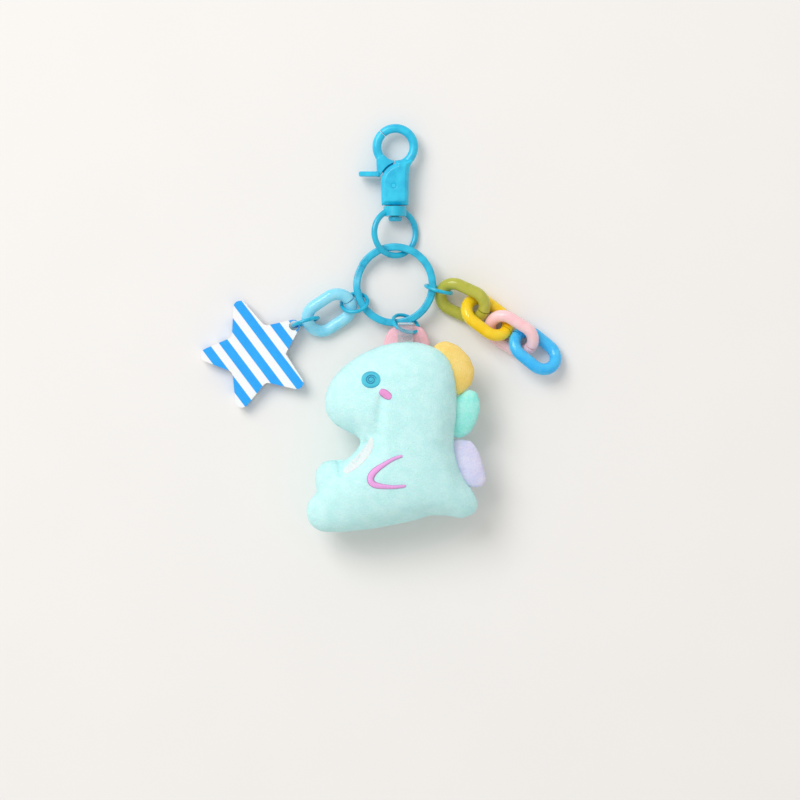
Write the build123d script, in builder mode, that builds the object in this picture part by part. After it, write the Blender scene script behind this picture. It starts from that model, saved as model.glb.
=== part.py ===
"""Plush keychain: a swivel lobster hook and a split ring that carries three charms.

The charms are a stuffed dinosaur toy on a clear strap, a striped acrylic star on one
open link, and a tail of four open links.  Everything lies on its side on a table:
+Z is up, +Y runs from the toy to the hook's eye, and the origin is on the table under
the middle of the whole keychain.  Lengths are in millimetres.
"""

import os
from math import cos, radians, sin

from build123d import *

os.makedirs("parts", exist_ok=True)

# ---------------------------------------------------------------- driving dimensions

# Lobster hook, cast zinc, painted
HOOK_X = 3.6  # swivel axis
HOOK_Z = 4.0  # mid-plane of hook and swivel
EYE_CENTRE = (3.7, 54.6)
EYE_RADIUS = 5.55  # to the middle of the eye's bar
EYE_BAR = 1.35  # radius of the bar
EYE_START = -76.0  # where the bar leaves the body, degrees
BUTT_ANGLE = 134.0  # where gate and hook tip meet, degrees
BUTT_GAP = 2.0  # degrees of arc left between them
BODY_THICK = 6.4
BODY_CHAMFER = 1.1
BODY_FOOT = 37.05  # lower end of the body
BODY_SIDES = (-0.45, 7.65)  # left and right side at the foot
BODY_NECK = [(7.75, 46.4), (7.95, 48.4), (9.0, 50.35), (3.6, 50.6), (3.6, 49.35)]  # right side, flare, crown, step
CHEEK_LOW = (-0.65, 43.9)  # where the shoulder runs out on the left
SHOULDER = (5.5, 43.5)  # centre of the rounded shoulder that the gate sits on
SHOULDER_RADIUS = 6.15
GATE_CLEARANCE = 0.55  # between shoulder and gate
PIVOT = (3.2, 42.75)
PIN_RADIUS = 0.75
PIN_DOME = 0.15
GATE_ARC = 86.0  # the gate's share of the eye, degrees
HEEL = [(-1.9, 47.1), (-1.9, 45.6), (3.4, 45.6), (3.4, 50.6)]
HEEL_ANGLE = 214.0  # where the heel leaves the eye's bar
TONGUE_THICK = 1.5
TONGUE_ROUND = 2.1
TONGUE = [(1.2, 42.2), (-0.3, 47.9), (2.9, 50.2), (5.1, 43.3)]
SLOT = [(-3.0, 41.0), (2.4, 40.3), (5.6, 43.6), (5.0, 51.5), (-3.0, 51.5)]
SLOT_ROUND = 2.6
SLOT_WIDE = 2.7  # across the slot that holds tongue and spring
TAB_PLACE = (-4.25, 46.4)
TAB_LONG = 6.1
TAB_THICK = 1.4
TAB_WIDE = 4.0
SPRING_WIRE = 0.5
SPRING_GAP = 0.15
SPRING_LEG = 2.4

# Swivel
SWIVEL_CENTRE_Y = 28.8
SWIVEL_RADIUS = 6.9  # to the middle of the wire
SWIVEL_WIRE = 0.9  # radius of the wire
SWIVEL_TILT = -26.2  # turn about the swivel axis as it lies, degrees
COLLAR_RADIUS = 3.45
COLLAR_LOW = 33.75
COLLAR_HIGH = 36.65
RIVET_RADIUS = 1.2
RIVET_CLEARANCE = 0.06
RIVET_HEAD_RADIUS = 2.0
RIVET_HEAD_LOW = 32.2
RIVET_HEAD_HIGH = 33.5
RIVET_HEAD_ROUND = 0.6
RIVET_HEAD_ROOM = 0.3
RIVET_TOP = 38.6  # the shank is peened over inside the body

# Split ring
SPLIT_RADIUS = 11.4  # to the middle of the strip
SPLIT_WIDE = 2.2
SPLIT_THICK = 1.0
SPLIT_EDGE = 0.46  # edge radius as a share of the thickness
SPLIT_PITCH = 1.08  # from coil to coil
RAMP_ARC = 36.0
RAMP_START = 150.0
RAMP_STEPS = 6

# Jump rings and open links
JUMP_RADIUS = 4.0
JUMP_WIRE = 0.55
JUMP_CUT = 4.0  # degrees left open where the ends meet
LINK_HALF_LONG = 7.0  # to the middle of the bar
LINK_HALF_WIDE = 4.4
LINK_BAR = 1.8
LINK_SLIT = 4.5  # degrees left open at the middle of one end

# Star charm
STAR_HEADING = 37.0  # direction of the drilled tip
STAR_TILT = 3.0  # the drilled tip rides up on its ring
STAR_TIP = 20.0  # before the tips are rounded
STAR_TIP_DRILLED = 18.6
STAR_NOTCH = 8.9
STAR_TIP_ROUND = 1.9
STAR_DRILLED_ROUND = 2.6
STAR_NOTCH_ROUND = 2.0
STAR_THICK = 3.4
STAR_HOLE_AT = 14.3
STAR_HOLE = 1.45
STAR_HOLE_PLACE = (-26.7, 0.9, 3.45)

# Stuffed toy
TOY_MID = 12.8  # height of the middle seam
FABRIC = 1.0
GUSSET_HALF = 3.0  # half width of the belly strip
BELLY = [(-30, -24), (-10, -22), (0, -30), (0, -48), (22, -52), (22, -70), (-30, -70)]
PATCH_THICK = 0.4
SPINE_THICK = 6.0
SPINE_ROUND = 2.4
PINK_MID = 5.3  # the crown's spine droops under the strap and its ring
PINK_THICK = 3.0

# Clear strap through the toy's crown seam
STRAP_X = 6.7
STRAP_WIDE = 4.6
STRAP_THICK = 0.5
STRAP_INNER = 1.8
STRAP_LONG = 6.4
STRAP_HIGH = (-0.5, 8.0)  # centre of the strap's free bend, along Y and Z
STRAP_SLOPE = 50.0  # how steeply it climbs from that bend to the seam, degrees


def lying(centre, heading, pitch, roll):
    """Plane of a ring or link: heading about Z, then pitch up, then roll about its length."""
    return Plane(Location(centre, (roll, -pitch, heading), Extrinsic.XYZ))


# Where each ring and link lies: centre, heading, pitch and roll of its own plane
SPLIT_PLANE = lying((3.5, 13.1, 4.02), 0, 5.8, 0)
JUMP_RINGS = {
    "jump_ring_left": lying((-8.56, 7.78, 3.45), 197.85, 8, 45),
    "jump_ring_star": lying((-23.33, 1.96, 4.59), 18.0, -1.3, 86.1),
    "jump_ring_right": lying((16.67, 11.74, 4.55), -16.4, 3.2, 98.7),
    "jump_ring_plush": lying((6.79, 1.35, 5.59), -16.4, -13.3, -53.0),
}
LINKS = {
    "link_sky": lying((-16.19, 4.79, 3.78), 32.9, 3.45, 23.6),
    "link_olive": lying((23.9, 8.29, 4.25), -24.6, 5.2, 29.0),
    "link_yellow": lying((31.31, 3.43, 4.34), -36.9, -0.7, -34.0),
    "link_pink": lying((38.59, -1.55, 4.27), -31.85, 0, 33.3),
    "link_blue": lying((45.7, -6.62, 4.08), 141.0, 0.2, 30.4),
}

# The toy's stuffed lobes: centre, half length, half width and heading of the length
TOY_LOBES = [
    ((-2.6, -18.4), 14.9, 12.4, 15),  # muzzle and cheek
    ((7.6, -18.3), 14.4, 12.4, 90),  # crown and nape
    ((9.0, -31.0), 24.5, 12.8, 90),  # back and rump
    ((-3.5, -45.8), 17.0, 10.2, 0),  # belly and forepaw
    ((-4.0, -53.4), 18.8, 8.0, 0),  # foot
    ((17.0, -50.3), 12.4, 6.4, -27),  # tail
]

# Outlines of the four stuffed spines along the back, each closing inside the body
SPINES = {
    "spine_pink": [(0.0, -7.0), (1.6, -2.9), (6.8, -2.3), (12.4, -2.5), (15.0, -7.0)],
    "spine_yellow": [(14.5, -6.0), (19.2, -4.3), (25.6, -9.5), (26.4, -14.6), (21.0, -18.4)],
    "spine_teal": [(20.5, -21.2), (25.4, -19.6), (28.9, -24.0), (27.0, -30.0), (20.5, -32.4)],
    "spine_lavender": [(20.5, -33.5), (27.4, -33.8), (30.4, -44.0), (28.4, -47.0), (22.0, -46.0)],
}

EYE_PLACE = (-3.5, -15.5)
EYE_RADIUS_X = 2.9
EYE_RADIUS_Y = 2.5
CHEEK_PLACE = (0.8, -19.8)
CHEEK_LONG = 2.1
CHEEK_WIDE = 1.3
CHEEK_HEADING = -35.0
ARM_ROUTE = [(5.6, -38.0), (-1.2, -41.4), (-3.8, -44.6), (-2.0, -46.6), (6.9, -46.8)]
ARM_WIDE = 1.5

finished = []


def keep(builder, name):
    """Labels a finished piece and writes it as its own STEP file."""
    builder.part.label = name
    export_step(builder.part, f"parts/{name}.step")
    finished.append(name)


def polar(centre, radius, angle):
    """Point at a radius and an angle from a centre, in the XY plane."""
    return (centre[0] + radius * cos(radians(angle)), centre[1] + radius * sin(radians(angle)))


# ---------------------------------------------------------------- lobster hook


def slab(half):
    """Plane from which a piece of the hook is extruded by twice the half thickness."""
    return Plane.XY.offset(HOOK_Z - half)


def across_bar(angle):
    """Plane across the eye's round bar at an angle round the eye."""
    spoke = (cos(radians(angle)), sin(radians(angle)), 0)
    return Plane((*polar(EYE_CENTRE, EYE_RADIUS, angle), HOOK_Z), x_dir=spoke, z_dir=(-spoke[1], spoke[0], 0))


eye_axis = Axis((*EYE_CENTRE, HOOK_Z), (0, 0, 1))


with BuildPart() as hook_body:
    # the body, a rounded casting whose shoulder the gate rests against
    with BuildSketch(slab(BODY_THICK / 2)) as body_outline:
        with BuildLine():
            foot = Line((BODY_SIDES[0], BODY_FOOT), (BODY_SIDES[1], BODY_FOOT))
            right = Polyline(foot @ 1, *BODY_NECK)
            shoulder = RadiusArc(right @ 1, CHEEK_LOW, -SHOULDER_RADIUS)
            left = Line(shoulder @ 1, foot @ 0)
        make_face()
    extrude(amount=BODY_THICK)
    chamfer(hook_body.edges().group_by(Axis.Z)[0], length=BODY_CHAMFER)
    chamfer(hook_body.edges().group_by(Axis.Z)[-1], length=BODY_CHAMFER)
    # the eye's bar, from the body round to the hook's tip
    with BuildSketch(across_bar(EYE_START)) as eye_section:
        Circle(EYE_BAR)
    revolve(axis=eye_axis, revolution_arc=BUTT_ANGLE - BUTT_GAP / 2 - EYE_START)
    # room inside the eye
    with BuildSketch(slab(BODY_THICK)) as eye_hole:
        with Locations(EYE_CENTRE):
            Circle(EYE_RADIUS - EYE_BAR)
    extrude(amount=2 * BODY_THICK, mode=Mode.SUBTRACT)
    # the slot for the gate's tongue, open at the shoulder and at the left
    with BuildSketch(slab(SLOT_WIDE / 2)) as slot_outline:
        with Locations(PIVOT):
            Circle(SLOT_ROUND)
        with BuildLine():
            Polyline(*SLOT, close=True)
        make_face()
    extrude(amount=SLOT_WIDE, mode=Mode.SUBTRACT)
    # bores for the gate pin and the swivel rivet
    with BuildSketch(slab(BODY_THICK)) as pin_bore:
        with Locations(PIVOT):
            Circle(PIN_RADIUS)
    extrude(amount=2 * BODY_THICK, mode=Mode.SUBTRACT)
    with BuildSketch(Plane((HOOK_X, BODY_FOOT - 1, HOOK_Z), z_dir=(0, 1, 0))) as rivet_bore:
        Circle(RIVET_RADIUS)
    extrude(amount=RIVET_TOP - BODY_FOOT + 1, mode=Mode.SUBTRACT)
keep(hook_body, "hook_body")

with BuildPart() as gate_lever:
    # the curved arm that closes the eye
    with BuildSketch(across_bar(BUTT_ANGLE + BUTT_GAP / 2)) as arm_section:
        Circle(EYE_BAR)
    revolve(axis=eye_axis, revolution_arc=GATE_ARC)
    # the heel, which follows the body's shoulder
    with BuildSketch(slab(EYE_BAR)) as heel_outline:
        with BuildLine():
            Polyline(
                polar(EYE_CENTRE, EYE_RADIUS + EYE_BAR, HEEL_ANGLE),
                *HEEL,
                polar(EYE_CENTRE, EYE_RADIUS - EYE_BAR, HEEL_ANGLE),
                close=True,
            )
        make_face()
        with Locations(SHOULDER):
            Circle(SHOULDER_RADIUS + GATE_CLEARANCE, mode=Mode.SUBTRACT)
        with Locations(EYE_CENTRE):
            Circle(EYE_RADIUS - EYE_BAR, mode=Mode.SUBTRACT)
    extrude(amount=2 * EYE_BAR)
    # the thumb tab
    with BuildSketch(slab(TAB_WIDE / 2)) as tab_outline:
        with Locations(TAB_PLACE):
            RectangleRounded(TAB_LONG, TAB_THICK, TAB_THICK * 0.35)
    extrude(amount=TAB_WIDE)
    # the tongue down to the pivot
    tongue_low = HOOK_Z - SLOT_WIDE / 2 + 0.2
    with BuildSketch(Plane.XY.offset(tongue_low)) as tongue_outline:
        with Locations(PIVOT):
            Circle(TONGUE_ROUND)
        with BuildLine():
            Polyline(*TONGUE, close=True)
        make_face()
        with Locations(PIVOT):
            Circle(PIN_RADIUS + RIVET_CLEARANCE, mode=Mode.SUBTRACT)
    extrude(amount=TONGUE_THICK)
keep(gate_lever, "gate_lever")

with BuildPart() as gate_pin:
    pin_half = BODY_THICK / 2 + PIN_DOME
    with BuildSketch(slab(pin_half)) as pin_outline:
        with Locations(PIVOT):
            Circle(PIN_RADIUS)
    extrude(amount=2 * pin_half)
    chamfer(gate_pin.edges().group_by(Axis.Z)[0], length=PIN_DOME)
    chamfer(gate_pin.edges().group_by(Axis.Z)[-1], length=PIN_DOME)
keep(gate_pin, "gate_pin")

with BuildPart() as gate_spring:
    # one flat coil round the pin beside the tongue, with a leg into the slot's corner
    spring_low = tongue_low + TONGUE_THICK + SPRING_GAP
    with BuildSketch(Plane.XY.offset(spring_low)) as spring_outline:
        with Locations(PIVOT):
            Circle(PIN_RADIUS + SPRING_GAP + SPRING_WIRE)
        leg_y = PIVOT[1] - PIN_RADIUS - SPRING_GAP - SPRING_WIRE / 2
        with Locations((PIVOT[0] - SPRING_LEG / 2, leg_y)):
            Rectangle(SPRING_LEG, SPRING_WIRE)
        with Locations(PIVOT):
            Circle(PIN_RADIUS + SPRING_GAP, mode=Mode.SUBTRACT)
    extrude(amount=SPRING_WIRE)
keep(gate_spring, "gate_spring")

# ---------------------------------------------------------------- swivel

with BuildPart() as swivel_rivet:
    with BuildSketch(Plane((HOOK_X, RIVET_HEAD_LOW, HOOK_Z), z_dir=(0, 1, 0))) as head_outline:
        Circle(RIVET_HEAD_RADIUS)
    extrude(amount=RIVET_HEAD_HIGH - RIVET_HEAD_LOW)
    fillet(swivel_rivet.edges().group_by(Axis.Y)[0], radius=RIVET_HEAD_ROUND)
    with BuildSketch(Plane((HOOK_X, RIVET_HEAD_HIGH, HOOK_Z), z_dir=(0, 1, 0))) as shank_outline:
        Circle(RIVET_RADIUS)
    extrude(amount=RIVET_TOP - RIVET_HEAD_HIGH)
keep(swivel_rivet, "swivel_rivet")

swivel_plane = lying((HOOK_X, SWIVEL_CENTRE_Y, HOOK_Z), 0, SWIVEL_TILT, 0)
with BuildPart() as swivel_ring:
    section_plane = Plane(swivel_plane.origin + swivel_plane.x_dir * SWIVEL_RADIUS,
                          x_dir=swivel_plane.x_dir, z_dir=swivel_plane.y_dir)
    with BuildSketch(section_plane) as swivel_section:
        Circle(SWIVEL_WIRE)
    revolve(axis=Axis(swivel_plane.origin, swivel_plane.z_dir))
    with BuildSketch(Plane((HOOK_X, COLLAR_LOW, HOOK_Z), z_dir=(0, 1, 0))) as collar_outline:
        Circle(COLLAR_RADIUS)
    extrude(amount=COLLAR_HIGH - COLLAR_LOW)
    with BuildSketch(Plane((HOOK_X, COLLAR_LOW - 2, HOOK_Z), z_dir=(0, 1, 0))) as collar_bore:
        Circle(RIVET_RADIUS + RIVET_CLEARANCE)
    extrude(amount=COLLAR_HIGH - COLLAR_LOW + 4, mode=Mode.SUBTRACT)
    # a spot face inside the ring leaves the rivet's head room to turn
    with BuildSketch(Plane((HOOK_X, RIVET_HEAD_LOW, HOOK_Z), z_dir=(0, 1, 0))) as head_room:
        Circle(RIVET_HEAD_RADIUS + RIVET_HEAD_ROOM)
    extrude(amount=COLLAR_LOW - RIVET_HEAD_LOW, mode=Mode.SUBTRACT)
keep(swivel_ring, "swivel_ring")

# ---------------------------------------------------------------- split ring


def split_section(angle, height):
    """Section of the split ring's strip at an angle round the ring."""
    spoke = SPLIT_PLANE.x_dir * cos(radians(angle)) + SPLIT_PLANE.y_dir * sin(radians(angle))
    along = SPLIT_PLANE.y_dir * cos(radians(angle)) - SPLIT_PLANE.x_dir * sin(radians(angle))
    centre = SPLIT_PLANE.origin + spoke * SPLIT_RADIUS + SPLIT_PLANE.z_dir * height
    with BuildSketch(Plane(centre, x_dir=spoke, z_dir=along)) as section:
        RectangleRounded(SPLIT_WIDE, SPLIT_THICK, SPLIT_THICK * SPLIT_EDGE)
    return section.sketch


def smooth_rise(share):
    """Height share of the ramp: level at both ends."""
    return share * share * (3 - 2 * share)


with BuildPart() as split_ring:
    split_axis = Axis(SPLIT_PLANE.origin, SPLIT_PLANE.z_dir)
    coil_arc = 360 - RAMP_ARC - 1
    revolve(split_section(RAMP_START, -SPLIT_PITCH / 2), axis=split_axis, revolution_arc=-coil_arc)
    ramp = [
        split_section(RAMP_START + RAMP_ARC * step / RAMP_STEPS,
                      SPLIT_PITCH * (smooth_rise(step / RAMP_STEPS) - 0.5))
        for step in range(RAMP_STEPS + 1)
    ]
    loft(sections=ramp)
    revolve(split_section(RAMP_START + RAMP_ARC, SPLIT_PITCH / 2), axis=split_axis,
            revolution_arc=coil_arc)
keep(split_ring, "split_ring")

# ---------------------------------------------------------------- jump rings and links


def jump_ring(plane):
    """Round wire bent to a ring, its two ends nearly meeting."""
    with BuildPart() as ring:
        start = Plane(plane.origin + plane.x_dir * JUMP_RADIUS, x_dir=plane.x_dir, z_dir=plane.y_dir)
        with BuildSketch(start) as section:
            Circle(JUMP_WIRE)
        revolve(axis=Axis(plane.origin, plane.z_dir), revolution_arc=360 - JUMP_CUT)
    return ring


def open_link(plane):
    """Long link of a round plastic bar, slit across the middle of the end it points to."""
    straight = LINK_HALF_LONG - LINK_HALF_WIDE
    with BuildPart() as link:
        with BuildLine(plane) as path:
            CenterArc((straight, 0), LINK_HALF_WIDE, LINK_SLIT / 2, 90 - LINK_SLIT / 2)
            Line((straight, LINK_HALF_WIDE), (-straight, LINK_HALF_WIDE))
            CenterArc((-straight, 0), LINK_HALF_WIDE, 90, 180)
            Line((-straight, -LINK_HALF_WIDE), (straight, -LINK_HALF_WIDE))
            CenterArc((straight, 0), LINK_HALF_WIDE, 270, 90 - LINK_SLIT / 2)
        with BuildSketch(Plane(path.line @ 0, z_dir=path.line % 0)) as section:
            Circle(LINK_BAR)
        sweep(sections=section.sketch, path=path.line)
    return link


for ring_name, ring_plane in JUMP_RINGS.items():
    keep(jump_ring(ring_plane), ring_name)

for link_name, link_plane in LINKS.items():
    keep(open_link(link_plane), link_name)

# ---------------------------------------------------------------- star charm

tip_up = lying(STAR_HOLE_PLACE, STAR_HEADING, STAR_TILT, 0)
star_plane = Plane(tip_up.origin - tip_up.x_dir * STAR_HOLE_AT, x_dir=tip_up.x_dir, z_dir=tip_up.z_dir)
with BuildPart() as star_charm:
    with BuildSketch(star_plane.offset(-STAR_THICK / 2)) as star_outline:
        with BuildLine() as star_line:
            reach = [STAR_TIP_DRILLED] + [STAR_NOTCH, STAR_TIP] * 4 + [STAR_NOTCH]
            corners = [polar((0, 0), radius, 36 * corner) for corner, radius in enumerate(reach)]
            Polyline(*corners, close=True)
        make_face()
        by_reach = star_outline.vertices().sort_by_distance(star_plane.origin)
        drilled_tip = by_reach[5]
        fillet(by_reach[6:], radius=STAR_TIP_ROUND)
        fillet(drilled_tip, radius=STAR_DRILLED_ROUND)
        notches = star_outline.vertices().sort_by_distance(star_plane.origin)[:5]
        fillet(notches, radius=STAR_NOTCH_ROUND)
        with Locations((STAR_HOLE_AT, 0)):
            Circle(STAR_HOLE, mode=Mode.SUBTRACT)
    extrude(amount=STAR_THICK)
keep(star_charm, "star_charm")

# ---------------------------------------------------------------- stuffed toy


def stuffed_volume(grow):
    """The toy's stuffed lobes joined, each grown by a distance."""
    with BuildPart() as volume:
        for centre, half_long, half_wide, heading in TOY_LOBES:
            lobe_plane = lying((centre[0], centre[1], TOY_MID), heading, 0, 0)
            long = half_long + grow
            wide = half_wide + grow
            with BuildSketch(lobe_plane):
                with BuildLine():
                    EllipticalCenterArc((0, 0), long, wide, start_angle=0, arc_size=180)
                    Line((-long, 0), (long, 0))
                make_face()
            revolve(axis=Axis(lobe_plane.origin, lobe_plane.x_dir))
    return volume.part


outer = stuffed_volume(0)
inner = stuffed_volume(-FABRIC)
halo = stuffed_volume(PATCH_THICK)

with BuildPart() as stuffing:
    add(inner)
keep(stuffing, "stuffing")


def belly_zone():
    """Block round the belly, throat and foot side of the middle seam."""
    with BuildPart() as zone:
        with BuildSketch(Plane.XY.offset(TOY_MID - GUSSET_HALF)):
            with BuildLine():
                Polyline(*BELLY, close=True)
            make_face()
        extrude(amount=2 * GUSSET_HALF)
    return zone.part


def half_space(upper):
    """Block that holds everything above, or below, the toy's middle seam."""
    side = 1 if upper else -1
    return Pos(0, -30, TOY_MID + side * 30) * Box(120, 120, 60)


# the clear strap: a flat band doubled over, its ends caught in the crown seam
strap_plane = Plane((STRAP_X - STRAP_WIDE / 2, STRAP_HIGH[0], STRAP_HIGH[1]),
                    x_dir=(0, -cos(radians(STRAP_SLOPE)), sin(radians(STRAP_SLOPE))), z_dir=(1, 0, 0))
strap_outer = STRAP_INNER + STRAP_THICK
with BuildPart() as clear_strap:
    with BuildSketch(strap_plane) as strap_outline:
        with Locations((STRAP_LONG / 2, 0)):
            SlotCenterToCenter(STRAP_LONG, 2 * strap_outer)
            SlotCenterToCenter(STRAP_LONG, 2 * STRAP_INNER, mode=Mode.SUBTRACT)
    extrude(amount=STRAP_WIDE)
    add(outer, mode=Mode.SUBTRACT)
keep(clear_strap, "clear_strap")

gusset_block = belly_zone()
fabric = outer - inner
gusset_solid = fabric & gusset_block
with BuildPart() as belly_gusset:
    add(gusset_solid)
keep(belly_gusset, "belly_gusset")

for panel_name, upper in (("side_panel_near", True), ("side_panel_far", False)):
    panel_solid = (fabric & half_space(upper)) - gusset_block
    with BuildPart() as side_panel:
        add(panel_solid)
    keep(side_panel, panel_name)

for spine_name, outline in SPINES.items():
    with BuildPart() as spine:
        middle = PINK_MID if spine_name == "spine_pink" else TOY_MID
        thick = PINK_THICK if spine_name == "spine_pink" else SPINE_THICK
        with BuildSketch(Plane.XY.offset(middle - thick / 2)):
            with BuildLine():
                rim = Spline(*outline)
                Line(rim @ 1, rim @ 0)
            make_face()
        extrude(amount=thick)
        fillet(spine.edges().filter_by(GeomType.BSPLINE), radius=SPINE_ROUND * thick / SPINE_THICK)
        add(outer, mode=Mode.SUBTRACT)
    keep(spine, spine_name)


def patch_column(shape, upper):
    """Cuts the thin layer that lies on the fabric's outside above or below a flat shape."""
    column = extrude(shape, amount=40 if upper else -40)
    return ((halo - outer) & column).solids().sort_by(Axis.Z)[-1 if upper else 0]


def oval(place, half_long, half_wide, heading):
    """Flat oval on the toy's middle seam plane."""
    with BuildSketch(lying((place[0], place[1], TOY_MID), heading, 0, 0)) as shape:
        Ellipse(half_long, half_wide)
    return shape.sketch


with BuildSketch(Plane.XY.offset(TOY_MID)) as arm_shape:
    with BuildLine() as arm_line:
        Spline(*ARM_ROUTE)
    trace(line_width=ARM_WIDE)

for side_name, upper in (("near", True), ("far", False)):
    for patch_name, shape in (
        ("eye", oval(EYE_PLACE, EYE_RADIUS_X, EYE_RADIUS_Y, 0)),
        ("cheek", oval(CHEEK_PLACE, CHEEK_LONG, CHEEK_WIDE, CHEEK_HEADING)),
        ("arm", arm_shape.sketch),
    ):
        patch_solid = patch_column(shape, upper)
        with BuildPart() as patch:
            add(patch_solid)
        keep(patch, f"{patch_name}_stitching_{side_name}")

print(len(finished), "pieces")
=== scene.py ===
# %% [markdown]
# # A plush keychain, lying flat
# The keychain is a painted lobster hook, a swivel, a split ring and three charms: a stuffed
# dinosaur, a striped star and a tail of open links.  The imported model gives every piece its
# place and its joints.  This script keeps the hard pieces, softens the two castings and
# paints them all, and sews new soft pieces where the model has only plain solids.

import bmesh
import bpy
import numpy as np
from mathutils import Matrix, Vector


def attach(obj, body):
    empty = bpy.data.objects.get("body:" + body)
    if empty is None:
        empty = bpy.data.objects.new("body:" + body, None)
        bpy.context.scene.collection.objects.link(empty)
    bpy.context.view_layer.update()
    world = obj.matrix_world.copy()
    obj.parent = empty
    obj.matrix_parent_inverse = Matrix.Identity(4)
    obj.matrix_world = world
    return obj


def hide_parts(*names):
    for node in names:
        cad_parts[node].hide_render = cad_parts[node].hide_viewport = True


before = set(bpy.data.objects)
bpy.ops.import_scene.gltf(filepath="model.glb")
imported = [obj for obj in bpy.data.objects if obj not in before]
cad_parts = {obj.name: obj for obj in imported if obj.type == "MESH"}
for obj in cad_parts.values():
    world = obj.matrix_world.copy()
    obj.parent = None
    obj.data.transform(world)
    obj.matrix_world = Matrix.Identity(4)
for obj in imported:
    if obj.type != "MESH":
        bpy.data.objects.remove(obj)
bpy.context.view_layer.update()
MM = 0.001
print("CAD nodes", len(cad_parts))

# %% [markdown]
# ## Camera, floor and light
# The keychain is seen from straight above through a long lens, so it hardly narrows with
# height.  One large soft lamp stands to the upper left and throws a faint shadow down to
# the right; an even sky fills the rest, as a white sweep does in a small studio.

# %% Camera
VIEW_CENTRE = (5.1 * MM, -21.5 * MM)
VIEW_WIDTH = 240 * MM
LENS = 150.0
SENSOR = 36.0

camera_data = bpy.data.cameras.new("camera")
camera_data.lens = LENS
camera_data.sensor_width = SENSOR
camera_data.clip_start = 0.05
camera_data.clip_end = 20
camera = bpy.data.objects.new("camera", camera_data)
camera.location = (*VIEW_CENTRE, VIEW_WIDTH * LENS / SENSOR + 6 * MM)
bpy.context.collection.objects.link(camera)
bpy.context.scene.camera = camera
bpy.context.scene.view_settings.view_transform = "Standard"
print("camera height", round(camera.location.z, 3))


# %% Colour and node helpers
def colour(code):
    """sRGB hex to linear: each share is c/12.92 when small, else ((c+0.055)/1.055)^2.4."""
    share = np.array([int(code[i : i + 2], 16) / 255 for i in (1, 3, 5)])
    linear = np.where(share <= 0.04045, share / 12.92, ((share + 0.055) / 1.055) ** 2.4)
    return (*(float(c) for c in linear), 1.0)


def add(tree, kind, inputs, **settings):
    """Adds one node: settings are its own choices, inputs are values or sockets that feed it."""
    node = tree.nodes.new("ShaderNode" + kind)
    for key, value in settings.items():
        setattr(node, key, value)
    for key, value in inputs.items():
        if isinstance(value, bpy.types.NodeSocket):
            tree.links.new(value, node.inputs[key])
        else:
            node.inputs[key].default_value = value
    return node


def blank(name, **shader):
    """New material with one Principled shader whose plain values are set on its own sockets."""
    material = bpy.data.materials.new(name)
    material.use_nodes = True
    tree = material.node_tree
    bsdf = tree.nodes["Principled BSDF"]
    for key, value in shader.items():
        bsdf.inputs[key.replace("_", " ")].default_value = value
    return material, tree, bsdf


def blend_by(tree, factor, low, high):
    """Colour between low and high."""
    mixer = add(tree, "Mix", {}, data_type="RGBA")
    for index, value in ((0, factor), (6, low), (7, high)):
        if isinstance(value, bpy.types.NodeSocket):
            tree.links.new(value, mixer.inputs[index])
        else:
            mixer.inputs[index].default_value = value
    return mixer.outputs[2]


def spread(tree, value, low, high, to_low=0.0, to_high=1.0):
    """Stretches a value from low..high to to_low..to_high, held at both ends."""
    node = add(tree, "MapRange", {"Value": value, "From Min": low, "From Max": high,
                                  "To Min": to_low, "To Max": to_high})
    return node.outputs["Result"]


def wear(objects, material):
    """Gives a material to every slot of the objects."""
    for piece in objects:
        piece.data.materials.clear()
        piece.data.materials.append(material)


# %% Floor and lamps
FLOOR_SIDE = 3.0
floor_mesh = bpy.data.meshes.new("floor")
corner = FLOOR_SIDE / 2
floor_mesh.from_pydata(
    [(-corner, -corner, 0), (corner, -corner, 0), (corner, corner, 0), (-corner, corner, 0)], [],
    [(0, 1, 2, 3)])
floor = bpy.data.objects.new("floor", floor_mesh)
bpy.context.collection.objects.link(floor)
paper, tree, bsdf = blank("matte_white_board", Roughness=0.9)
place = add(tree, "TexCoord", {}).outputs["Object"]
mottle = add(tree, "TexNoise", {"Vector": place, "Scale": 30.0, "Detail": 2.0}).outputs["Fac"]
board = blend_by(tree, mottle, colour("#EFEDEB"), colour("#F2F0EE"))
tree.links.new(board, bsdf.inputs["Base Color"])
wear([floor], paper)

KEY_PLACE = (-0.75, 0.75, 1.25)
KEY_SIDE = 0.9
KEY_POWER = 14.6
SKY_STRENGTH = 0.66

lamp_data = bpy.data.lights.new("soft_key", "AREA")
lamp_data.energy = KEY_POWER
lamp_data.size = KEY_SIDE
lamp = bpy.data.objects.new("soft_key", lamp_data)
lamp.location = KEY_PLACE
lamp.rotation_mode = "QUATERNION"
lamp.rotation_quaternion = (Vector((*VIEW_CENTRE, 0)) - Vector(KEY_PLACE)).to_track_quat("-Z", "Y")
bpy.context.collection.objects.link(lamp)
world = bpy.data.worlds.new("even_sky")
world.use_nodes = True
world.node_tree.nodes["Background"].inputs["Color"].default_value = colour("#FFFDFA")
world.node_tree.nodes["Background"].inputs["Strength"].default_value = SKY_STRENGTH
bpy.context.scene.world = world
print("lamp power", KEY_POWER)

# %% [markdown]
# ## Painted zinc and steel
# Hook, swivel and rings are metal under one coat of sky-blue spray enamel.  The enamel is
# opaque and half glossy: the eye sees one even blue, a soft highlight along each round bar,
# and a faint orange-peel skin.  The rings are bent from wire and took a thinner, deeper coat.


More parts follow.
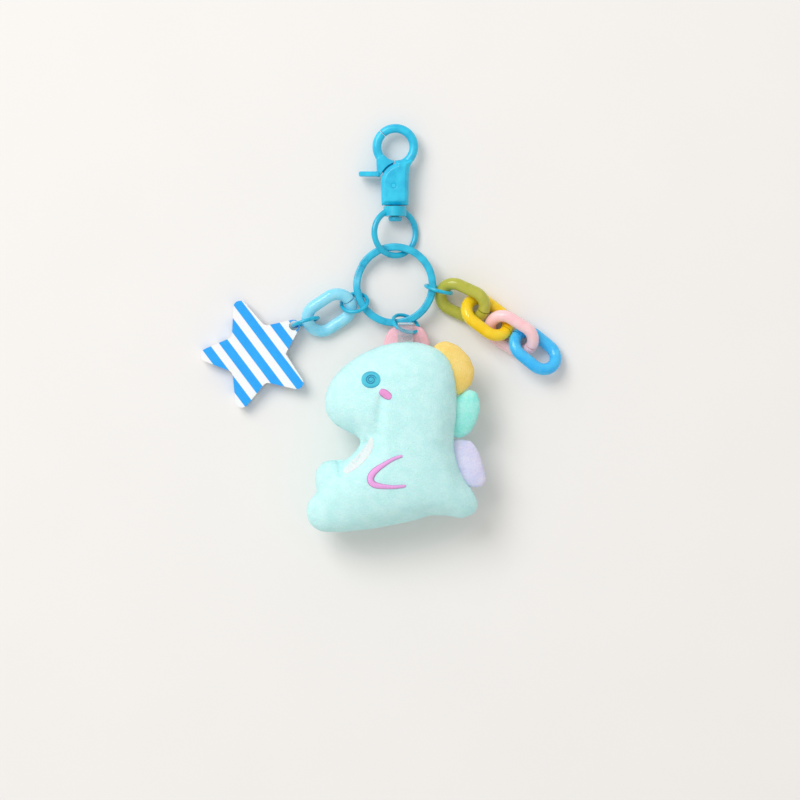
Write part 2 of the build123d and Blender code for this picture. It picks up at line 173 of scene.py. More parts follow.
# %% Spray enamel
def spray_enamel(name, thin, thick, roughness):
    """Opaque enamel: pooled colour drifts over a few millimetres, skin ripples at 0.4 mm."""
    material, tree, bsdf = blank(name, Roughness=roughness, Coat_Weight=0.35, Coat_Roughness=0.18)
    place = add(tree, "TexCoord", {}).outputs["Object"]
    pool = add(tree, "TexNoise", {"Vector": place, "Scale": 0.35 / MM, "Detail": 3.0}).outputs["Fac"]
    peel = add(tree, "TexNoise", {"Vector": place, "Scale": 2.5 / MM, "Detail": 1.0}).outputs["Fac"]
    paint = blend_by(tree, spread(tree, pool, 0.35, 0.65), thin, thick)
    tree.links.new(paint, bsdf.inputs["Base Color"])
    dull = spread(tree, pool, 0.3, 0.7, roughness - 0.06, roughness + 0.08)
    tree.links.new(dull, bsdf.inputs["Roughness"])
    skin = add(tree, "Bump", {"Height": peel, "Strength": 0.12, "Distance": 0.05 * MM})
    tree.links.new(skin.outputs["Normal"], bsdf.inputs["Normal"])
    return material


cast_paint = spray_enamel("spray_enamel_on_cast_zinc", colour("#0CB8E2"), colour("#1ECCF0"), 0.36)
wire_paint = spray_enamel("spray_enamel_on_steel_wire", colour("#04AAD0"), colour("#12C0E2"), 0.30)
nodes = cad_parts
wear([nodes[n] for n in ("hook_body", "gate_lever", "gate_pin")], cast_paint)
wear([nodes[n] for n in ("swivel_rivet", "swivel_ring", "split_ring", "jump_ring_left",
                         "jump_ring_star", "jump_ring_right", "jump_ring_plush")], wire_paint)

# %% [markdown]
# Die casting leaves no sharp edge, and the paint rounds it further.  The two cast pieces
# are therefore rebuilt in small even cells and relaxed: the more rounds, the softer the edge.

# %% Softened castings
CAST_CELL = 0.13
HOOK_ROUNDS = 8
GATE_ROUNDS = 3
WELD = 0.002 * MM  # points nearer than this are one point


def soften(name, body, rounds):
    """Rounded copy of a cast node: merged, rebuilt in even cells, then relaxed a few rounds."""
    mesh = nodes[name].data.copy()
    shell = bmesh.new()
    shell.from_mesh(mesh)
    bmesh.ops.remove_doubles(shell, verts=shell.verts, dist=WELD)
    shell.to_mesh(mesh)
    shell.free()
    piece = bpy.data.objects.new(name + "_cast", mesh)
    bpy.context.collection.objects.link(piece)
    even = piece.modifiers.new("even", "REMESH")
    even.mode = "VOXEL"
    even.voxel_size = CAST_CELL * MM
    relax = piece.modifiers.new("relax", "SMOOTH")
    relax.factor = 0.5
    relax.iterations = rounds
    graph = bpy.context.evaluated_depsgraph_get()
    made = bpy.data.meshes.new_from_object(piece.evaluated_get(graph))
    piece.modifiers.clear()
    piece.data = made
    made.shade_smooth()
    wear([piece], cast_paint)
    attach(piece, body)
    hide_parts(name)
    print(piece.name, len(made.polygons))


soften("hook_body", "hook", HOOK_ROUNDS)
soften("gate_lever", "gate", GATE_ROUNDS)

# %% [markdown]
# The gate's spring is bare drawn wire, with faint streaks from the die.

# %% Spring steel

spring_steel, tree, bsdf = blank("bright_spring_steel", Metallic=1.0, Roughness=0.3)
place = add(tree, "TexCoord", {}).outputs["Object"]
draw = add(tree, "TexNoise", {"Vector": place, "Scale": 3.0 / MM}).outputs["Fac"]
steel = blend_by(tree, draw, colour("#B9BBBD"), colour("#CFD1D3"))
tree.links.new(steel, bsdf.inputs["Base Color"])
wear([nodes["gate_spring"]], spring_steel)
print("painted", cast_paint.name, wire_paint.name)

# %% [markdown]
# ## Moulded acrylic links
# The open links are injection-moulded acrylic in milky candy colours.  Light goes a
# millimetre or so into them and comes out again, so the edges glow a little, and the skin
# is smooth enough to show the lamp as a crisp spot.


# %% Candy acrylic
def candy_acrylic(name, deep, bright):
    """Milky acrylic: slight swirls of pigment, scattering about a millimetre deep."""
    material, tree, bsdf = blank(name, Roughness=0.14, IOR=1.49, Subsurface_Weight=0.35,
                                 Subsurface_Radius=(1.0, 1.0, 1.0), Subsurface_Scale=0.9 * MM)
    place = add(tree, "TexCoord", {}).outputs["Object"]
    swirl = add(tree, "TexNoise", {"Vector": place, "Scale": 0.22 / MM, "Detail": 2.0,
                                   "Distortion": 0.8})
    skin = add(tree, "TexNoise", {"Vector": place, "Scale": 0.6 / MM, "Detail": 1.0}).outputs["Fac"]
    tint = blend_by(tree, spread(tree, swirl.outputs["Fac"], 0.3, 0.7), deep, bright)
    tree.links.new(tint, bsdf.inputs["Base Color"])
    tree.links.new(spread(tree, skin, 0.3, 0.7, 0.1, 0.2), bsdf.inputs["Roughness"])
    ripple = add(tree, "Bump", {"Height": skin, "Strength": 0.15, "Distance": 0.08 * MM})
    tree.links.new(ripple.outputs["Normal"], bsdf.inputs["Normal"])
    return material


LINK_COLOURS = {
    "link_sky": ("#86DCFA", "#A6E8FC"),
    "link_olive": ("#B2B440", "#C2C252"),
    "link_yellow": ("#FCCF12", "#FFDC30"),
    "link_pink": ("#FFC8CE", "#FFD8DB"),
    "link_blue": ("#30B8FF", "#52CCFF"),
}
for link_name, (deep, bright) in LINK_COLOURS.items():
    acrylic = candy_acrylic("candy_acrylic_" + link_name[5:], colour(deep), colour(bright))
    wear([nodes[link_name]], acrylic)
print("links", len(LINK_COLOURS))

# %% [markdown]
# ## Striped star
# The star is cut from a laminated acrylic sheet: blue and white bars run right through it,
# across the line from the drilled tip to the opposite notch.  The pattern is a saw-tooth
# of the distance along that line, read in the star's own turned axes.

# %% Laminated acrylic
STRIPE_PITCH = 5.2
STRIPE_BLUE = 2.75
STRIPE_SHIFT = 0.45
STAR_HEADING = 37.0
STAR_CENTRE = (-38.1, -7.7, 2.7)

laminate, tree, bsdf = blank("laminated_acrylic_stripes", Roughness=0.12, IOR=1.49,
                             Subsurface_Weight=0.2, Subsurface_Scale=0.6 * MM)
place = add(tree, "TexCoord", {}).outputs["Object"]
turned = add(tree, "Mapping", {"Vector": place, "Location": [c * MM for c in STAR_CENTRE],
                               "Rotation": (0, 0, np.radians(STAR_HEADING))}, vector_type="TEXTURE")
along = add(tree, "SeparateXYZ", {"Vector": turned.outputs["Vector"]}).outputs["X"]
shift = 0.5 + STRIPE_SHIFT / STRIPE_PITCH
steps = add(tree, "Math", {0: along, 1: 1 / (STRIPE_PITCH * MM), 2: shift},
            operation="MULTIPLY_ADD").outputs[0]
saw = add(tree, "Math", {0: steps}, operation="FRACT").outputs[0]
off_centre = add(tree, "Math", {0: saw, 1: 0.5}, operation="SUBTRACT").outputs[0]
distance = add(tree, "Math", {0: off_centre}, operation="ABSOLUTE").outputs[0]
edge = STRIPE_BLUE / STRIPE_PITCH / 2
blue_share = spread(tree, distance, edge + 0.012, edge - 0.012)
cloud = add(tree, "TexNoise", {"Vector": place, "Scale": 0.3 / MM, "Detail": 2.0}).outputs["Fac"]
blue_bar = blend_by(tree, cloud, colour("#1FA2FA"), colour("#2CB2FF"))
white_bar = blend_by(tree, cloud, colour("#F4F8FA"), colour("#FCFEFF"))
tree.links.new(blend_by(tree, blue_share, white_bar, blue_bar), bsdf.inputs["Base Color"])
tree.links.new(spread(tree, cloud, 0.3, 0.7, 0.09, 0.18), bsdf.inputs["Roughness"])
wear([nodes["star_charm"]], laminate)
print("stripes every", STRIPE_PITCH, "mm")

# %% [markdown]
# ## Sewing helpers
# A stuffed shape starts from its flat pattern.  The outline is a closed curve; a skin
# stretched over it and pushed up evenly is high in the middle and steep at the rim, and
# its two sides joined at the rim make the stuffed blank.


# %% From outline to blank
SKIN_CELLS = 110  # along the longer side of the outline
SKIN_ROUNDS = 2500  # each round evens the height out by one cell; wide shapes stay a little low


def smooth_loop(corners, count, ease):
    """Closed curve: corners evened out by length, then high waves damped by exp(-(k ease)^2)."""
    corners = np.array(corners) @ (1, 1j)
    closed = np.append(corners, corners[0])
    run = np.append(0, np.cumsum(np.abs(np.diff(closed))))
    even = np.interp(np.linspace(0, run[-1], count, endpoint=False), run, closed)
    wave = np.fft.fft(even)
    rank = np.fft.fftfreq(count, 1 / count)
    return np.fft.ifft(wave * np.exp(-((rank * ease) ** 2)))


def puff_field(loop, cell):
    """Height of an evenly pushed skin: each cell is the mean of its neighbours plus a bit."""
    low = np.array([loop.real.min(), loop.imag.min()]) - 2 * cell
    size = (np.array([loop.real.max(), loop.imag.max()]) - low) / cell + 3
    x = low[0] + cell * np.arange(int(size[0]))[:, None]
    y = low[1] + cell * np.arange(int(size[1]))[None, :]
    inside = np.zeros((x.size, y.size), bool)
    for a, b in zip(loop, np.roll(loop, -1)):
        if a.imag != b.imag:
            crossing = a.real + (y - a.imag) * (b.real - a.real) / (b.imag - a.imag)
            inside ^= ((y > a.imag) != (y > b.imag)) & (x < crossing)
    height = np.zeros(inside.shape)
    for _ in range(SKIN_ROUNDS):
        around = (height[2:, 1:-1] + height[:-2, 1:-1] + height[1:-1, 2:] + height[1:-1, :-2])
        height[1:-1, 1:-1] = np.where(inside[1:-1, 1:-1], (around + cell * cell) / 4, 0)
    return low, cell, height


def sample(field, where):
    """Value of a field between its cells, by weighing the four nearest."""
    low, cell, height = field
    u = np.clip((where.real - low[0]) / cell, 0, height.shape[0] - 1.001)
    v = np.clip((where.imag - low[1]) / cell, 0, height.shape[1] - 1.001)
    i, j = u.astype(int), v.astype(int)
    s, t = u - i, v - j
    return ((1 - s) * (1 - t) * height[i, j] + s * (1 - t) * height[i + 1, j]
            + (1 - s) * t * height[i, j + 1] + s * t * height[i + 1, j + 1])


def nearest_on(bones, where):
    """Nearest place on a set of straight bones to each point of a curve."""
    best = np.full(where.shape, np.inf)
    found = where * 0
    for a, b in bones:
        a, b = complex(*a), complex(*b)
        share = np.clip(((where - a) * np.conj(b - a)).real / abs(b - a) ** 2, 0, 1)
        foot = a + share * (b - a)
        closer = np.abs(where - foot) < best
        found[closer], best[closer] = foot[closer], np.abs(where - foot)[closer]
    return found


def blank_grid(loop, bones, middle, half, bluntness, rows=72):
    """Stuffed blank: bones to rim by cos(s), height +-half (field/top)^bluntness."""
    s = np.linspace(-np.pi / 2, np.pi / 2, rows)
    radius = np.maximum(np.cos(s), 1e-6)[:, None]
    core = nearest_on(bones, loop)
    where = core + (loop - core) * radius
    field = puff_field(loop, max(np.ptp(loop.real), np.ptp(loop.imag)) / SKIN_CELLS)
    lift = (sample(field, where) / field[2].max()) ** bluntness
    lift *= np.minimum(1, (1 - radius) * 60)
    return np.stack([where.real, where.imag, middle - half * np.sign(s)[:, None] * lift], axis=2)


def skin(name, grid, round_u=False, round_v=True):
    """Mesh over a grid of points in millimetres: one face between each four neighbours."""
    nu, nv = grid.shape[:2]
    i, j = np.meshgrid(np.arange(nu if round_u else nu - 1), np.arange(nv if round_v else nv - 1),
                       indexing="ij")
    corners = [((i + a) % nu) * nv + (j + b) % nv for a, b in ((0, 0), (1, 0), (1, 1), (0, 1))]
    mesh = bpy.data.meshes.new(name)
    quads = np.stack(corners, axis=2).reshape(-1, 4).tolist()
    mesh.from_pydata(grid.reshape(-1, 3) * MM, [], quads)
    across, along = np.meshgrid(np.arange(nv) / nv, np.arange(nu) / max(nu - 1, 1))
    uv = np.stack([along, across], axis=2).reshape(-1, 2)
    corner_of = np.zeros(len(mesh.loops), int)
    mesh.loops.foreach_get("vertex_index", corner_of)
    mesh.uv_layers.new(name="map").data.foreach_set("uv", uv[corner_of].ravel())
    shell = bmesh.new()
    shell.from_mesh(mesh)
    bmesh.ops.remove_doubles(shell, verts=shell.verts, dist=WELD)
    bmesh.ops.recalc_face_normals(shell, faces=shell.faces)
    shell.to_mesh(mesh)
    shell.free()
    mesh.shade_smooth()
    piece = bpy.data.objects.new(name, mesh)
    bpy.context.collection.objects.link(piece)
    return piece


def points_of(mesh):
    """Vertex places as one array."""
    flat = np.empty(len(mesh.vertices) * 3)
    mesh.vertices.foreach_get("co", flat)
    return flat.reshape(-1, 3)


def settle(piece):
    """Replaces a piece's mesh with what its modifiers make of it."""
    graph = bpy.context.evaluated_depsgraph_get()
    made = bpy.data.meshes.new_from_object(piece.evaluated_get(graph))
    piece.modifiers.clear()
    piece.data = made


SIM_SCALE = 10.0  # cloth is simulated at cushion size, where its stiffness values hold
SIM_FRAMES = 20
RELAX_ROUNDS = 10  # evens out the small creases that the coarse cloth leaves


def stuff(piece, voxel, cap):
    """Blows the blank up as cloth; the pressure moves no point more than cap millimetres."""
    piece.data.vertices.foreach_set("co", (points_of(piece.data) * SIM_SCALE).ravel())
    even = piece.modifiers.new("even", "REMESH")
    even.mode = "VOXEL"
    even.voxel_size = voxel * MM * SIM_SCALE
    settle(piece)
    start = points_of(piece.data)
    cloth = piece.modifiers.new("cloth", "CLOTH")
    cloth.settings.use_pressure = True
    cloth.settings.uniform_pressure_force = 4.0
    cloth.settings.effector_weights.gravity = 0.0
    cloth.collision_settings.use_collision = False
    for step in range(1, SIM_FRAMES + 1):
        bpy.context.scene.frame_set(step)
        bpy.context.view_layer.update()
    settle(piece)
    bpy.context.scene.frame_set(1)
    moved = points_of(piece.data) - start
    size = np.linalg.norm(moved, axis=1, keepdims=True)
    limit = cap * MM * SIM_SCALE
    eased = start + moved * (limit * np.tanh(size / limit) / np.maximum(size, 1e-9))
    piece.data.vertices.foreach_set("co", (eased / SIM_SCALE).ravel())
    finer = piece.modifiers.new("finer", "SUBSURF")
    finer.levels = 1
    finer.render_levels = 1
    relax = piece.modifiers.new("relax", "SMOOTH")
    relax.factor = 0.5
    relax.iterations = RELAX_ROUNDS
    settle(piece)
    piece.data.shade_smooth()
    furthest = round(float(size.max() / SIM_SCALE / MM), 2)
    print(piece.name, "pushed out up to", furthest, "mm before the cap of", cap, "mm")


def press(piece, depth):
    """Moves each point in along its normal by depth(x, y, z), all in millimetres."""
    flat = np.empty(len(piece.data.vertices) * 3)
    piece.data.vertices.foreach_get("normal", flat)
    place = points_of(piece.data)
    inward = flat.reshape(-1, 3) * depth(*(place / MM).T)[:, None] * MM
    piece.data.vertices.foreach_set("co", (place - inward).ravel())


def off_line(x, y, ends):
    """Distance from the straight line between two ends, in the plan."""
    (ax, ay), (bx, by) = ends
    share = ((x - ax) * (bx - ax) + (y - ay) * (by - ay)) / ((bx - ax) ** 2 + (by - ay) ** 2)
    share = np.clip(share, 0, 1)
    return np.hypot(x - ax - share * (bx - ax), y - ay - share * (by - ay))


# %% [markdown]
# ## Short-pile plush
# Soft toys like this are cut from velboa, a knitted polyester with a clipped pile about a
# millimetre deep.  Seen close it is matt and powdery, brighter where the surface turns away
# from the eye, and slightly blotched where the nap has been brushed both ways.


# %% Velboa
def velboa(name, shade, light):
    """Clipped pile: nap blotches of 2 mm, tufts of 0.5 mm drawn coarser than real so they show."""
    material, tree, bsdf = blank(name, Roughness=0.95, Sheen_Weight=0.55, Sheen_Roughness=0.45,
                                 Sheen_Tint=light, Subsurface_Weight=0.12,
                                 Subsurface_Scale=1.0 * MM)
    bsdf.inputs["Specular IOR Level"].default_value = 0.15
    place = add(tree, "TexCoord", {}).outputs["Object"]
    nap = add(tree, "TexNoise", {"Vector": place, "Scale": 0.3 / MM, "Detail": 3.0}).outputs["Fac"]
    tuft = add(tree, "TexNoise", {"Vector": place, "Scale": 1.7 / MM, "Detail": 4.0,
                                  "Roughness": 0.65})
    fibre = add(tree, "TexVoronoi", {"Vector": place, "Scale": 2.6 / MM}, feature="F1")
    brushed = spread(tree, nap, 0.35, 0.65)
    grain = spread(tree, tuft.outputs["Fac"], 0.3, 0.7)
    mixed = add(tree, "Math", {0: brushed, 1: 0.45, 2: 0.0}, operation="MULTIPLY_ADD").outputs[0]
    mixed = add(tree, "Math", {0: grain, 1: 0.55, 2: mixed}, operation="MULTIPLY_ADD").outputs[0]
    tree.links.new(blend_by(tree, mixed, shade, light), bsdf.inputs["Base Color"])
    height = add(tree, "Math", {0: fibre.outputs["Distance"], 1: -0.6, 2: tuft.outputs["Fac"]},
                 operation="MULTIPLY_ADD")
    pile = add(tree, "Bump", {"Height": height.outputs[0], "Strength": 0.55, "Distance": 0.35 * MM})
    tree.links.new(pile.outputs["Normal"], bsdf.inputs["Normal"])
    return material


mint_plush = velboa("velboa_mint", colour("#BEF2F2"), colour("#D6FFFF"))
white_plush = velboa("velboa_white", colour("#DDE9EA"), colour("#EFF3F4"))
print("plush", mint_plush.name)

# %% [markdown]
# ## The dinosaur's body
# The body is two side panels of mint plush sewn together round the edge, with a white
# gusset let in at the throat, turned through and stuffed.  The two panels are one blank,
# blown up as cloth and then cut along the seam, because fabric pulled by stuffing bulges
# between its seams in a way that is hard to draw by hand.

# %% Body blank
BODY_CORNERS = [
    (5.55, -3.9), (0.27, -4.8), (-5.9, -7.2), (-11.2, -10.7), (-15.15, -14.7), (-17.3, -19.5),
    (-17.3, -23.9), (-15.15, -27.5), (-11.2, -30.1), (-8.6, -31.4), (-6.8, -33.6), (-8.6, -36.7),
    (-11.2, -39.3), (-12.5, -40.2), (-14.7, -40.0), (-18.2, -40.7), (-20.4, -43.3), (-20.6, -46.4),
    (-19.5, -49.9), (-22.2, -53.0), (-22.8, -56.1), (-21.3, -59.6), (-18.2, -61.4), (-12.5, -61.4),
    (-1.5, -60.0), (9.5, -57.8), (14.3, -56.3), (18.8, -56.1), (24.0, -56.9), (27.5, -55.6),
    (28.7, -53.0), (27.1, -49.0), (25.4, -46.8), (23.2, -42.0), (21.8, -36.3), (21.6, -31.9),
    (22.3, -25.3), (22.1, -19.1), (21.4, -13.4), (20.1, -9.4), (17.0, -6.3), (12.6, -4.6),
    (9.1, -3.9),
]
SEAM_HEIGHT = 12.8  # the toy lies on its side, so its seam runs level
BODY_HALF = 11.6
BODY_VOXEL = 0.8
BODY_CAP = 1.1  # the pressure moves no point further than this
BODY_BLUNTNESS = 0.40
SEAM_GROOVE = (0.45, 0.55)  # depth and width
FOLDS = [  # ends, depth and width
    (((-0.3, -21.5), (-2.2, -31.5)), 1.0, 1.5),  # cheek to chin
    (((-12.9, -40.0), (-12.7, -43.4)), 1.0, 0.9),  # nick above the foot
    (((-5.2, -33.8), (-8.6, -39.6)), 0.7, 0.5),  # throat seam
]
BODY_BONES = [((6.0, -38.0), (6.0, -37.4))]  # the whole rim is in plain sight from here

body_loop = smooth_loop(BODY_CORNERS, 384, 0.012)
PULL_IN = 0.45  # the relaxing draws the rim in by this much, so the pattern has that allowance
rim_way = 1j * (np.roll(body_loop, 1) - np.roll(body_loop, -1))
if (body_loop.imag * np.gradient(body_loop.real)).sum() < 0:
    rim_way = -rim_way
body_loop = body_loop - PULL_IN * rim_way / np.abs(rim_way)
body_grid = blank_grid(body_loop, BODY_BONES, SEAM_HEIGHT, BODY_HALF, BODY_BLUNTNESS)
whole = skin("whole_body", body_grid)
stuff(whole, BODY_VOXEL, BODY_CAP)


def body_dents(x, y, z):
    """Seam groove all round, and the folds on the near side: sum of deep e^-(d/wide)^2."""
    groove_deep, groove_wide = SEAM_GROOVE
    depth = groove_deep * np.exp(-(((z - SEAM_HEIGHT) / groove_wide) ** 2))
    near = z > SEAM_HEIGHT
    for ends, deep, wide in FOLDS:
        depth = depth + deep * np.exp(-((off_line(x, y, ends) / wide) ** 2)) * near
    return depth


press(whole, body_dents)
REST = 0.25 * MM  # the pile keeps the fabric this far off the table
SAG = 1.2 * MM  # how gradually it comes to rest there
place = points_of(whole.data)
place[:, 2] = REST + SAG * np.logaddexp(0, (place[:, 2] - REST) / SAG)
whole.data.vertices.foreach_set("co", place.ravel())
print("body vertices", len(place))


# %% [markdown]
# Cutting the blown blank at the height of the seam gives the two panels.  Each is closed
# with a flat face inside, so that it counts as a solid piece of its own.


# %% Cut along the seam
def half_of(source, name, side):
    """Copy of one side of the seam plane, its cut closed with a flat inner face."""
    cut = bmesh.new()
    cut.from_mesh(source.data)
    everything = cut.verts[:] + cut.edges[:] + cut.faces[:]
    bmesh.ops.bisect_plane(cut, geom=everything, plane_co=(0, 0, SEAM_HEIGHT * MM),
                           plane_no=(0, 0, side), clear_inner=True)
    rim = [e for e in cut.edges if e.is_boundary]
    bmesh.ops.edgeloop_fill(cut, edges=rim)
    bmesh.ops.recalc_face_normals(cut, faces=cut.faces)
    mesh = bpy.data.meshes.new(name)
    cut.to_mesh(mesh)
    cut.free()
    mesh.shade_smooth()
    piece = bpy.data.objects.new(name, mesh)
    bpy.context.collection.objects.link(piece)
    return piece


def rig(piece, body, material, stands_for=()):
    """Material, body, slot and the CAD nodes that a new piece stands for."""
    wear([piece], material)
    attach(piece, body)
    if stands_for:
        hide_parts(*stands_for)


near_panel = half_of(whole, "near_panel", 1)
far_panel = half_of(whole, "far_panel", -1)
rig(near_panel, "toy", mint_plush, ("side_panel_near", "stuffing"))
rig(far_panel, "toy", mint_plush, ("side_panel_far",))
print("panels", len(near_panel.data.polygons), len(far_panel.data.polygons))

# %% [markdown]
# ## The spines
# Each spine along the back is a small flap of two plies sewn round the edge and stuffed
# lightly, so its rim is thin and its middle is plump.


# %% Stuffed flaps
SPINE_VOXEL = 0.45
SPINE_CAP = 0.3
SPINE_BLUNTNESS = 0.42
SPINE_GROOVE = (0.3, 0.45)  # depth and width of the seam groove round the rim
LOFT = 0.9  # share of the half thickness that the blank has before the pressure adds to it
SPINES = {  # shaded and lit colour, middle height, half thickness, outline
    "pink": ("#F9B6C4", "#FFCCD6", 5.5, 1.9, [
        (-0.6, -7.5), (0.2, -3.0), (1.6, -0.2), (4.4, 1.3), (8.6, 1.4), (12.2, 0.4), (13.8, -2.4),
        (15.0, -7.5), (7.0, -9.5)]),
    "yellow": ("#F1CC66", "#FFE391", 12.6, 3.1, [
        (14.0, -7.2), (15.6, -4.6), (18.6, -3.6), (22.6, -5.2), (25.9, -8.6), (27.6, -12.8),
        (26.6, -17.0), (23.4, -20.0), (19.0, -21.0), (14.0, -14.0)]),
    "teal": ("#84EEE2", "#BDFBF4", 12.4, 3.0, [
        (18.0, -20.0), (22.0, -20.2), (25.6, -18.0), (28.2, -19.0), (29.3, -23.0), (28.3, -27.4),
        (26.2, -31.4), (23.0, -33.2), (18.0, -32.0)]),
    "lavender": ("#D3D2F6", "#ECEAFF", 12.4, 3.0, [
        (18.0, -33.5), (22.6, -33.0), (26.6, -33.6), (28.8, -37.0), (30.2, -41.6), (31.0, -45.6),
        (29.4, -47.8), (25.6, -47.6), (20.0, -45.0)]),
}
for hue, (shade, light, middle, half, corners) in SPINES.items():
    loop = smooth_loop(corners, 160, 0.05)
    heart = loop.mean()
    bones = [((heart.real, heart.imag - 1.0), (heart.real, heart.imag + 1.0))]
    grid = blank_grid(loop, bones, middle, half * LOFT, SPINE_BLUNTNESS, rows=44)
    flap = skin("spine_" + hue + "_flap", grid)
    stuff(flap, SPINE_VOXEL, SPINE_CAP)
    deep, wide = SPINE_GROOVE
    press(flap, lambda x, y, z, m=middle: deep * np.exp(-(((z - m) / wide) ** 2)))
    rig(flap, "toy", velboa("velboa_" + hue, colour(shade), colour(light)),
        ("spine_" + hue,))
print("spines", len(SPINES))

# %% [markdown]
# ## Embroidery
# Eye, cheek and arm are satin stitch: threads laid side by side across the shape, so each
# is a low rounded ridge with fine cross lines and a silky glint.  The glint is partly the
# shader's sheen and partly a painted highlight on the crest; painted shade darkens the feet
# and the lines between threads.  Every one is a flattened tube along a path, dropped on to
# the finished plush from above or from below.


# %% Laid ribbons
DROP_FROM = 30.0  # millimetres above or below the seam, clear of the plush


def flat_tube(route, half_wide, half_high, count, around=24):
    """Oval tube: width half_wide(s) cos(a) across the route, height half_high(s) sin(a)."""
    corners = np.array(route) @ (1, 1j)
    run = np.append(0, np.cumsum(np.abs(np.diff(corners))))
    s = np.linspace(0, 1, count)
    line = np.interp(s * run[-1], run, corners)
    for _ in range(count // 8):
        line[1:-1] = (line[:-2] + 2 * line[1:-1] + line[2:]) / 4
    heading = np.gradient(line)
    side = 1j * heading / np.abs(heading)
    angle = np.linspace(0, 2 * np.pi, around, endpoint=False)[None, :]
    across = (line + 0j)[:, None] + side[:, None] * half_wide(s)[:, None] * np.cos(angle)
    return across, half_high(s)[:, None] * np.sin(angle)


def lay_on(name, tube, target, side):
    """Drops the tube's plan on to a piece along Z, then lifts each point by the tube's height."""
    plan, lift = tube  # half the lift rides along in the start height until the plan is welded
    start_height = SEAM_HEIGHT + side * DROP_FROM
    start = np.stack([plan.real, plan.imag, start_height + lift * 0.5], axis=2)
    piece = skin(name, start)
    height = (points_of(piece.data)[:, 2] / MM - start_height) * 2
    drop = piece.modifiers.new("drop", "SHRINKWRAP")
    drop.target = target
    drop.wrap_method = "PROJECT"
    drop.use_project_z = True
    drop.use_negative_direction = side > 0
    drop.use_positive_direction = side < 0
    settle(piece)
    place = points_of(piece.data)
    place[:, 2] += side * height * MM
    piece.data.vertices.foreach_set("co", place.ravel())
    fresh = bmesh.new()
    fresh.from_mesh(piece.data)
    bmesh.ops.recalc_face_normals(fresh, faces=fresh.faces)
    fresh.to_mesh(piece.data)
    fresh.free()
    piece.data.shade_smooth()
    return piece


FULL_TURN = 2 * np.pi


def satin_thread(name, edge, middle, threads):
    """Satin stitch: cross lines along the first map axis, with painted shade in the grooves between
    threads and at the ridge's feet and a painted highlight on its crest; only the grain is random
    tone.
    """
    material, tree, bsdf = blank(name, Roughness=0.42, Sheen_Weight=0.3)
    place = add(tree, "UVMap", {}, uv_map="map").outputs["UV"]
    axes = add(tree, "SeparateXYZ", {"Vector": place})
    turns = add(tree, "Math", {0: axes.outputs["X"], 1: threads * FULL_TURN},
                operation="MULTIPLY").outputs[0]
    ridge = add(tree, "Math", {0: turns}, operation="SINE").outputs[0]
    around = add(tree, "Math", {0: axes.outputs["Y"], 1: FULL_TURN},
                 operation="MULTIPLY").outputs[0]
    rise = add(tree, "Math", {0: around}, operation="SINE").outputs[0]
    # |sin| of the way round the tube: 1 on the crest, 0 at the feet; it paints the crest light and the feet dark as shade
    top = add(tree, "Math", {0: rise}, operation="ABSOLUTE").outputs[0]
    grain = add(tree, "TexNoise", {"Vector": place, "Scale": 60.0, "Detail": 2.0}).outputs["Fac"]
    painted_light_and_grain = add(tree, "Math", {0: ridge, 1: 0.16, 2: spread(tree, top, 0.25, 0.8)},
               operation="MULTIPLY_ADD").outputs[0]
    painted_light_and_grain = add(tree, "Math", {0: grain, 1: 0.3, 2: painted_light_and_grain}, operation="MULTIPLY_ADD").outputs[0]
    # Base colour runs from painted shade (edge) to painted highlight (middle), with a little random
    # grain
    painted_sheen_and_shade = blend_by(tree, spread(tree, painted_light_and_grain, 0.1, 1.1), edge, middle)
    tree.links.new(painted_sheen_and_shade, bsdf.inputs["Base Color"])
    laid = add(tree, "Bump", {"Height": ridge, "Strength": 0.6, "Distance": 0.12 * MM})
    tree.links.new(laid.outputs["Normal"], bsdf.inputs["Normal"])
    return material


EYE_CENTRE = (-3.5, -15.5)
EYE_HALF = (2.85, 2.5)
CHEEK_ROUTE = [(-0.9, -18.65), (2.5, -20.95)]
ARM_ROUTE = [(5.9, -37.9), (3.4, -38.7), (1.1, -40.0), (-1.2, -41.5), (-2.8, -42.8), (-3.75, -44.5),
             (-3.4, -45.9), (-2.3, -46.6), (0.0, -47.0), (3.4, -47.2), (6.9, -46.8)]
GUSSET_ROUTE = [(-3.1, -32.4), (-3.6, -34.6), (-4.9, -36.8), (-7.0, -39.3), (-9.2, -41.3),
                (-11.6, -43.0)]
SPIRAL_TURNS = 2.2
SPIRAL_OUTER, SPIRAL_INNER = 1.65, 0.40
SPIRAL_SQUASH = 0.9

# Each thread's first colour is painted shade at the feet of the ridge and between threads, its
# second a painted highlight on the crest
eye_thread = satin_thread("satin_thread_cyan", colour("#18B4DE"), colour("#4CDDF7"), 34)
spiral_thread = satin_thread("satin_thread_deep_cyan", colour("#0C7FB4"), colour("#1596C6"), 60)
cheek_thread = satin_thread("satin_thread_pink", colour("#C660B2"), colour("#FFA4E8"), 14)
arm_thread = satin_thread("satin_thread_orchid", colour("#B04CA6"), colour("#FCB2F6"), 60)


def bulge(s):
    """Half width share of an oval: sqrt(1 - (2s - 1)^2)."""
    return np.sqrt(np.maximum(1 - (2 * s - 1) ** 2, 0))


def arm_half_wide(s):
    """Half width of the arm line: 1.05 mm halfway, 0.55 mm further out, closed at the tips."""
    return (0.55 + 0.5 * np.exp(-(((s - 0.5) / 0.22) ** 2))) * bulge(s) ** 0.25


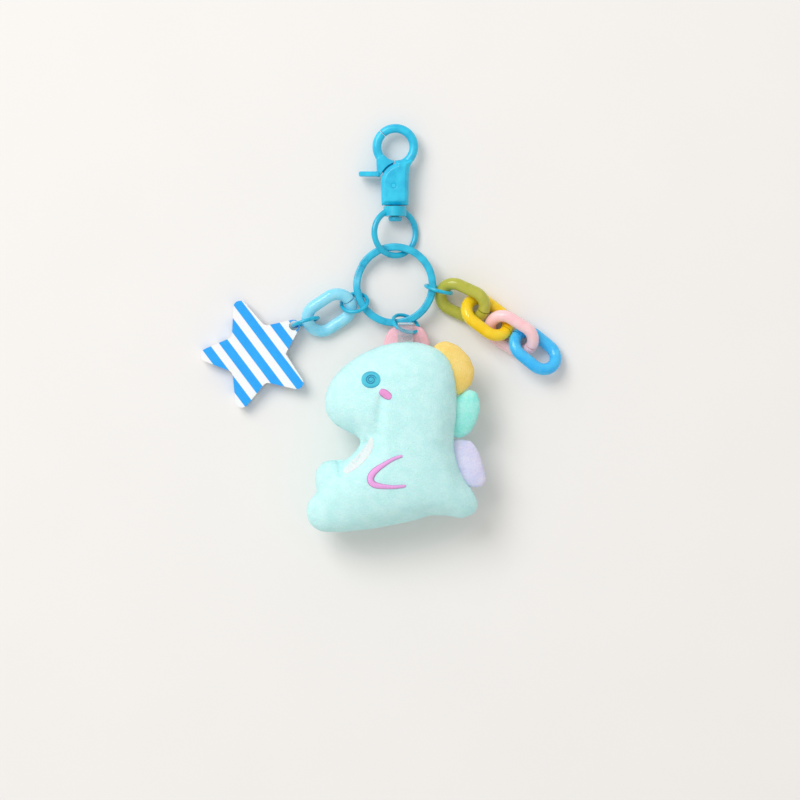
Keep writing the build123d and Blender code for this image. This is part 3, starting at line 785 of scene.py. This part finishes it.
for side, target, tag in ((1, near_panel, "near"), (-1, far_panel, "far")):
    x, y = EYE_CENTRE
    eye = flat_tube([(x - EYE_HALF[0], y), (x + EYE_HALF[0], y)],
                    lambda s: EYE_HALF[1] * bulge(s), lambda s: 0.4 * bulge(s) ** 0.5, 48)
    rig(lay_on("eye_" + tag, eye, target, side), "toy", eye_thread,
        ("eye_stitching_" + tag,))
    turn = np.linspace(0, SPIRAL_TURNS * FULL_TURN, 90)
    reach = SPIRAL_OUTER - (SPIRAL_OUTER - SPIRAL_INNER) * turn / turn[-1]
    spiral = list(zip(x + reach * np.cos(turn), y + reach * np.sin(turn) * SPIRAL_SQUASH))
    line = flat_tube(spiral, lambda s: 0.2 * bulge(s) ** 0.3, lambda s: 0.62 * bulge(s) ** 0.3,
                     160, 10)
    rig(lay_on("eye_spiral_" + tag, line, target, side), "toy", spiral_thread)
    cheek = flat_tube(CHEEK_ROUTE, lambda s: 1.25 * bulge(s) ** 0.7,
                      lambda s: 0.45 * bulge(s) ** 0.5, 36)
    rig(lay_on("cheek_" + tag, cheek, target, side), "toy", cheek_thread,
        ("cheek_stitching_" + tag,))
    arm = flat_tube(ARM_ROUTE, arm_half_wide, lambda s: 0.5 * bulge(s) ** 0.4, 120)
    rig(lay_on("arm_" + tag, arm, target, side), "toy", arm_thread,
        ("arm_stitching_" + tag,))
gusset = flat_tube(GUSSET_ROUTE, lambda s: 1.45 * bulge(s) ** 0.9,
                   lambda s: 0.3 * bulge(s) ** 0.5, 64)
rig(lay_on("throat_gusset", gusset, near_panel, 1), "toy", white_plush,
    ("belly_gusset",))
bpy.data.objects.remove(whole)
print("embroidery laid")

# %% [markdown]
# ## Clear strap
# The loop through the plush ring is a band of clear soft plastic, doubled over and caught
# in the crown seam.  It is nearly invisible but for its bright edges.

# %% Clear plastic
clear_plastic, tree, bsdf = blank("clear_soft_plastic", Roughness=0.08, IOR=1.46,
                                  Transmission_Weight=0.9)
place = add(tree, "TexCoord", {}).outputs["Object"]
haze = add(tree, "TexNoise", {"Vector": place, "Scale": 0.8 / MM, "Detail": 2.0}).outputs["Fac"]
clear_tint = blend_by(tree, haze, colour("#F2FAFC"), colour("#FFFFFF"))
tree.links.new(clear_tint, bsdf.inputs["Base Color"])
tree.links.new(spread(tree, haze, 0.3, 0.7, 0.05, 0.16), bsdf.inputs["Roughness"])
wear([nodes["clear_strap"]], clear_plastic)
